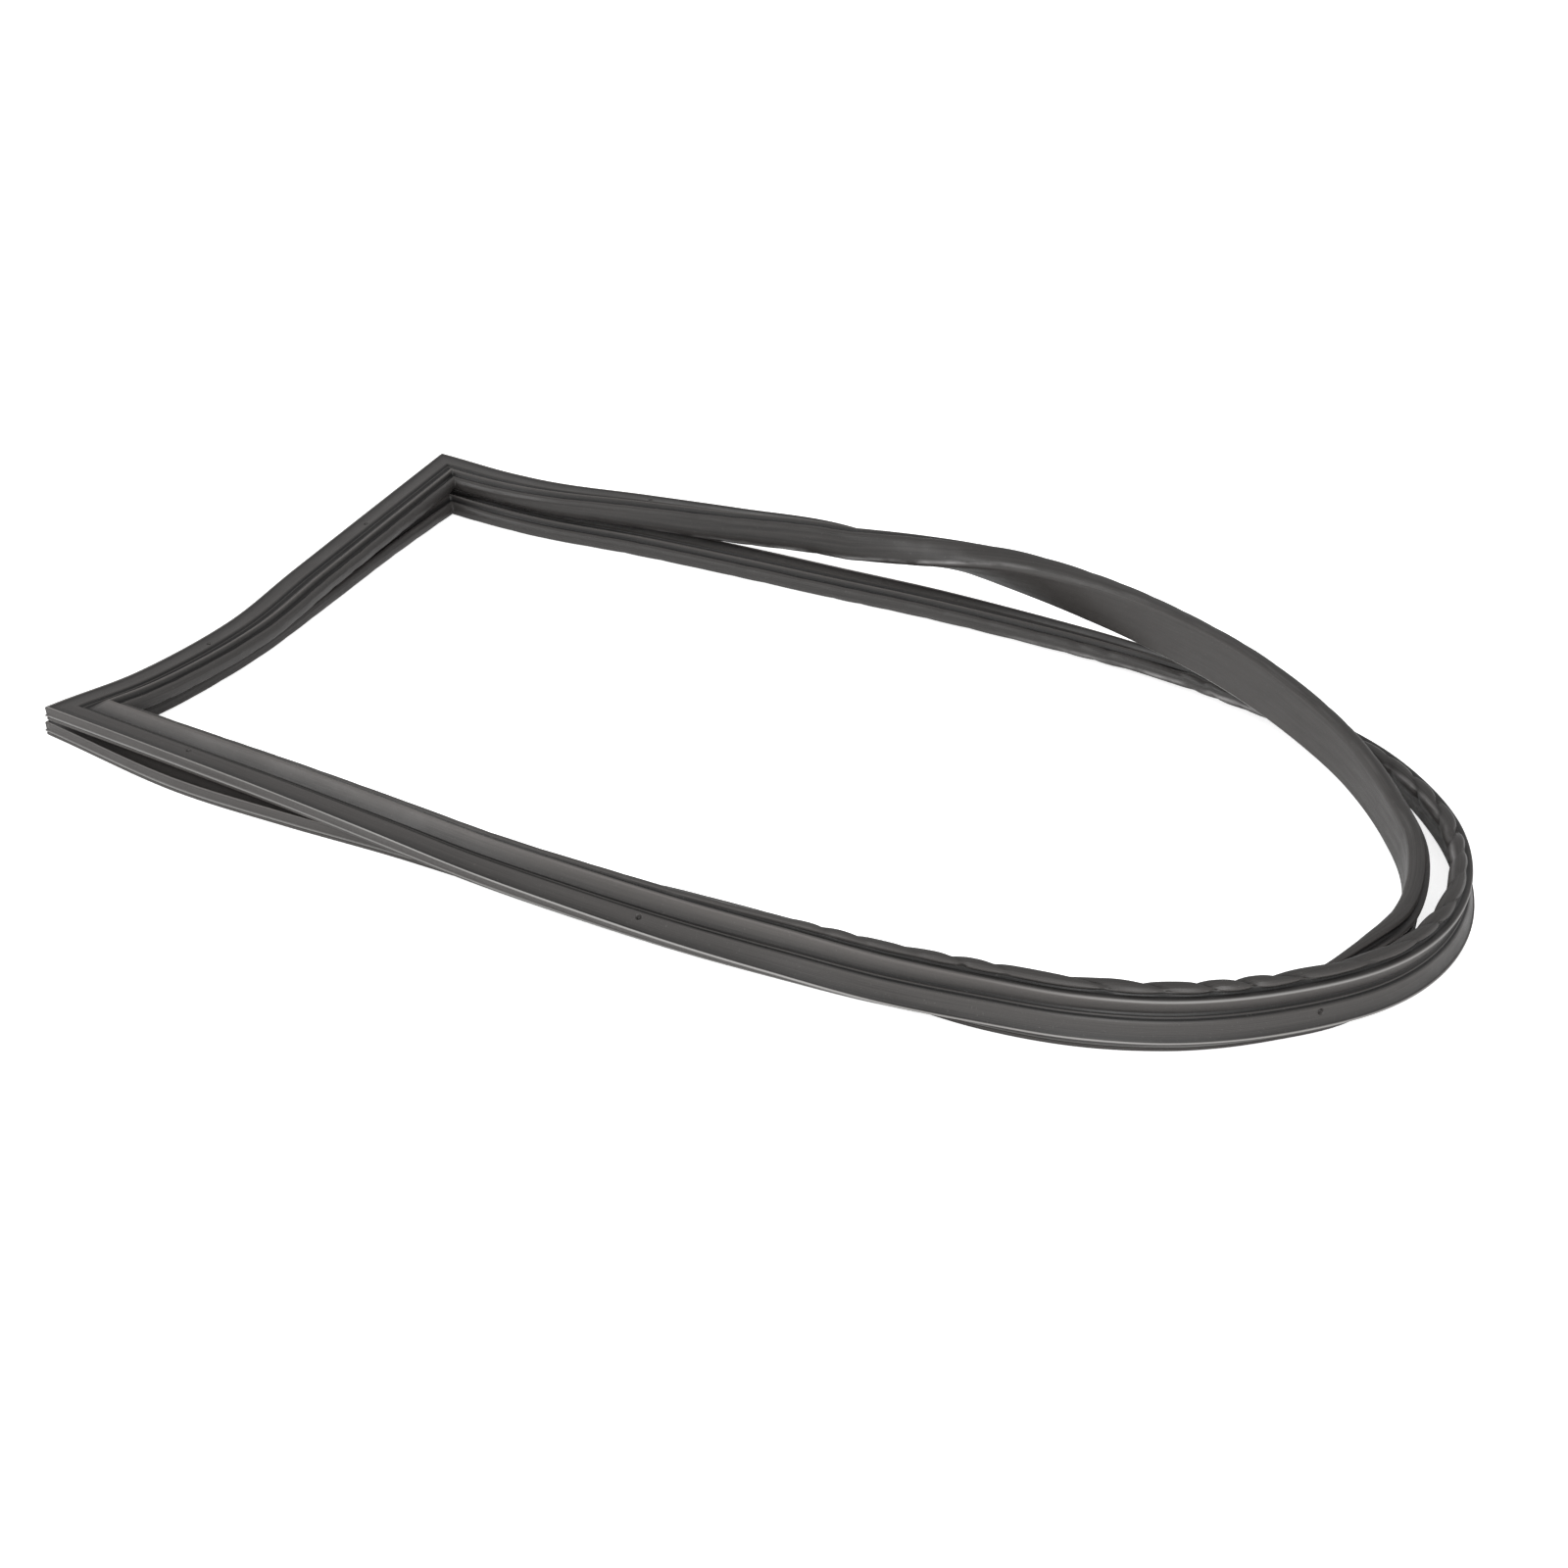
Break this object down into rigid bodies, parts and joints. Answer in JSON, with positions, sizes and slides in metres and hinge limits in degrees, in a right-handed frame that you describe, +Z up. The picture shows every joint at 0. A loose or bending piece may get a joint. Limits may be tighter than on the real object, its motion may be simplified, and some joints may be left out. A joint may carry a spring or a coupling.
{
  "type": "refrigerator door gasket",
  "caption": "Flexible magnetic door gasket for a fridge or freezer, a welded ribbed hollow frame coiled into a flat double loop.",
  "frame": {"origin": "under the middle of the coil's bounding box, on the surface that the coil lies on", "axes": "+Z up, +X from the two stacked short sides towards the coil's round end, +Y across the coil, towards the side where the upper strand lies outside"},
  "size_m": [0.7496, 0.4464, 0.0496],
  "materials": {
    "gasket": "satin black flexible vinyl, extruded",
    "magnet": "matt ferrite-filled strip, hidden inside"
  },
  "bodies": {
    "root": {"gasket": "gasket", "magnet_upper_short": "magnet", "magnet_upper_long": "magnet", "magnet_lower_short": "magnet", "magnet_lower_long": "magnet"}
  },
  "joints": []
}
